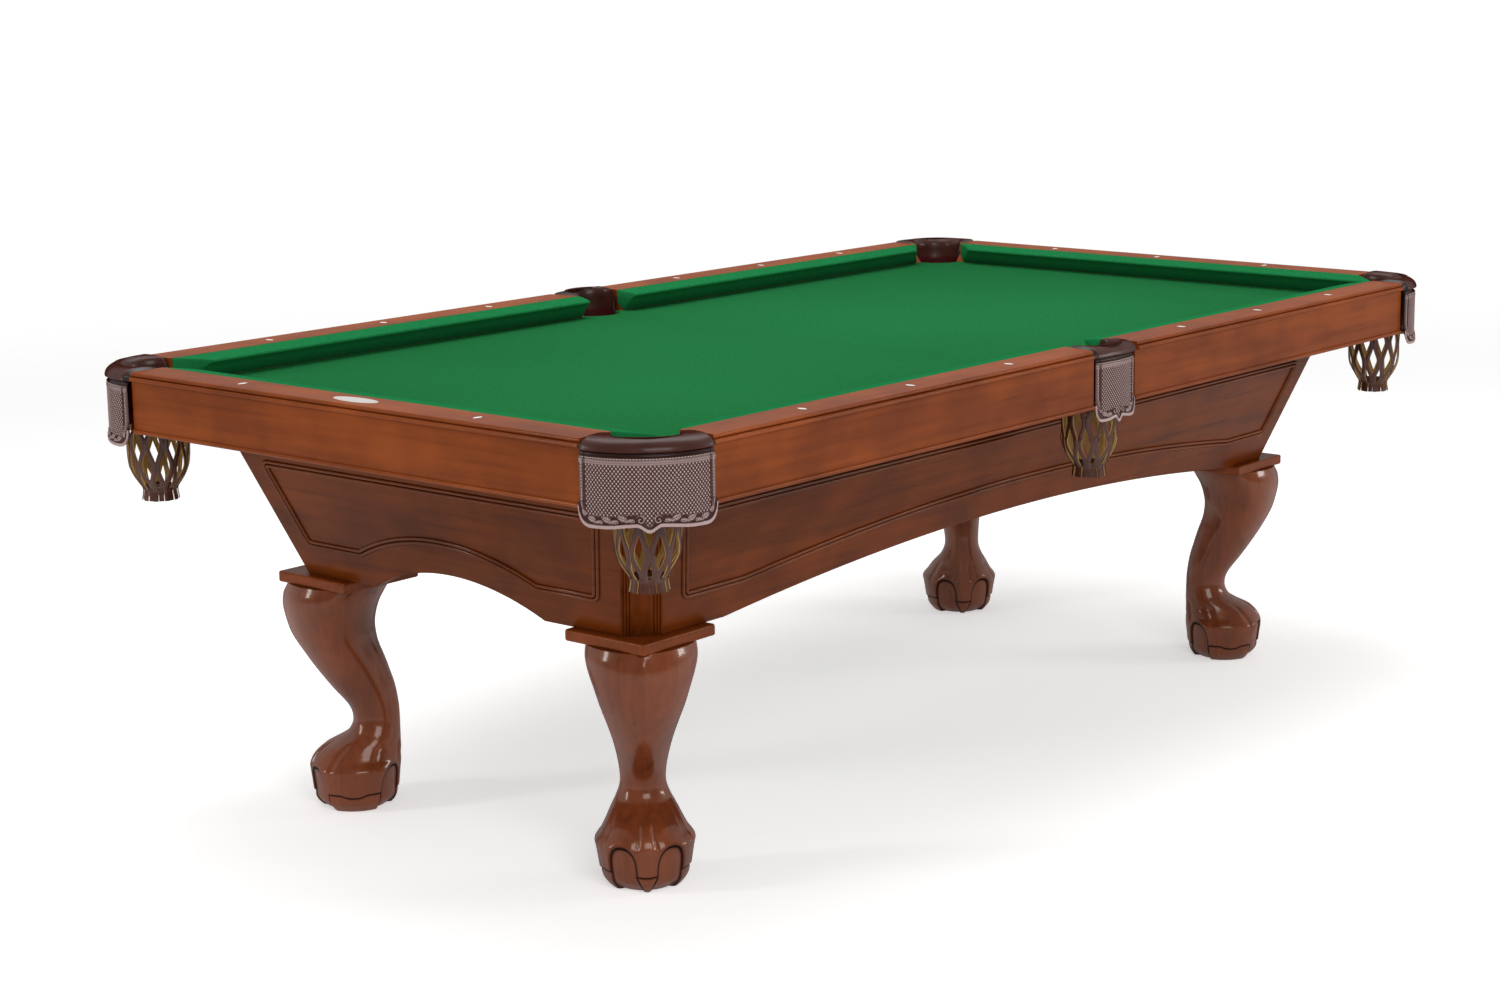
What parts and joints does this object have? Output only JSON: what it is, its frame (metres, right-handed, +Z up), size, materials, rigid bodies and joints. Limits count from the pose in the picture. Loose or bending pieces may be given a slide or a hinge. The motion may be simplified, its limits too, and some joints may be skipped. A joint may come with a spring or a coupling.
{
  "type": "pool table",
  "caption": "Pool table with carved claw-foot legs, raked arched cabinet, slate bed under green cloth, wooden rails with pearl sights and tooled leather drop pockets with nets.",
  "frame": {"origin": "on the floor under the middle of the bed", "axes": "+X along the length, +Y across the width, +Z up; the front long side is at -Y"},
  "size_m": [2.4832, 1.3656, 0.818],
  "materials": {
    "leg_wood": "gloss lacquer over brown stain",
    "plate_wood": "gloss lacquer over brown stain",
    "cabinet_wood": "gloss lacquer over brown stain",
    "rail_wood": "gloss lacquer over brown stain",
    "beam_wood": "bare sawn softwood",
    "slate": "honed grey slate",
    "bed_cloth": "napped wool cloth",
    "cushion": "gum rubber under wool cloth",
    "pocket_leather": "tooled, polished leather",
    "net_leather": "cut leather with raw tan edges",
    "sight_pearl": "pearl inlay",
    "plate_metal": "satin, blank",
    "leveller_steel": "zinc plated",
    "fastener_steel": "zinc plated"
  },
  "bodies": {
    "table": {"leg_front_left": "leg_wood", "leg_front_right": "leg_wood", "leg_back_left": "leg_wood", "leg_back_right": "leg_wood", "leg_plates": "plate_wood", "leg_bolts": "fastener_steel", "corner_posts": "cabinet_wood", "bed_beams": "beam_wood", "slate_left": "slate", "slate_middle": "slate", "slate_right": "slate", "slate_screws": "fastener_steel", "bed_cloth": "bed_cloth", "rail_bolts": "fastener_steel", "rail_sights": "sight_pearl", "oval_plate": "plate_metal", "panel_front": "cabinet_wood", "panel_back": "cabinet_wood", "panel_left": "cabinet_wood", "panel_right": "cabinet_wood", "rail_front_left": "rail_wood", "apron_front_left": "rail_wood", "cushion_front_left": "cushion", "rail_front_right": "rail_wood", "apron_front_right": "rail_wood", "cushion_front_right": "cushion", "rail_back_left": "rail_wood", "apron_back_left": "rail_wood", "cushion_back_left": "cushion", "rail_back_right": "rail_wood", "apron_back_right": "rail_wood", "cushion_back_right": "cushion", "rail_left": "rail_wood", "apron_left": "rail_wood", "cushion_left": "cushion", "rail_right": "rail_wood", "apron_right": "rail_wood", "cushion_right": "cushion", "pocket_rim_front_left": "pocket_leather", "pocket_shield_front_left": "pocket_leather", "pocket_net_front_left": "net_leather", "pocket_rim_front_right": "pocket_leather", "pocket_shield_front_right": "pocket_leather", "pocket_net_front_right": "net_leather", "pocket_rim_back_left": "pocket_leather", "pocket_shield_back_left": "pocket_leather", "pocket_net_back_left": "net_leather", "pocket_rim_back_right": "pocket_leather", "pocket_shield_back_right": "pocket_leather", "pocket_net_back_right": "net_leather", "pocket_rim_front_middle": "pocket_leather", "pocket_shield_front_middle": "pocket_leather", "pocket_net_front_middle": "net_leather", "pocket_rim_back_middle": "pocket_leather", "pocket_shield_back_middle": "pocket_leather", "pocket_net_back_middle": "net_leather"},
    "leveller_front_left": {"leveller_front_left": "leveller_steel"},
    "leveller_front_right": {"leveller_front_right": "leveller_steel"},
    "leveller_back_left": {"leveller_back_left": "leveller_steel"},
    "leveller_back_right": {"leveller_back_right": "leveller_steel"}
  },
  "joints": [
    {"name": "level_front_left", "type": "slide", "parent": "table", "child": "leveller_front_left", "axis": [0, 0, -1], "range_m": [0, 0.012]},
    {"name": "level_front_right", "type": "slide", "parent": "table", "child": "leveller_front_right", "axis": [0, 0, -1], "range_m": [0, 0.012]},
    {"name": "level_back_left", "type": "slide", "parent": "table", "child": "leveller_back_left", "axis": [0, 0, -1], "range_m": [0, 0.012]},
    {"name": "level_back_right", "type": "slide", "parent": "table", "child": "leveller_back_right", "axis": [0, 0, -1], "range_m": [0, 0.012]}
  ]
}
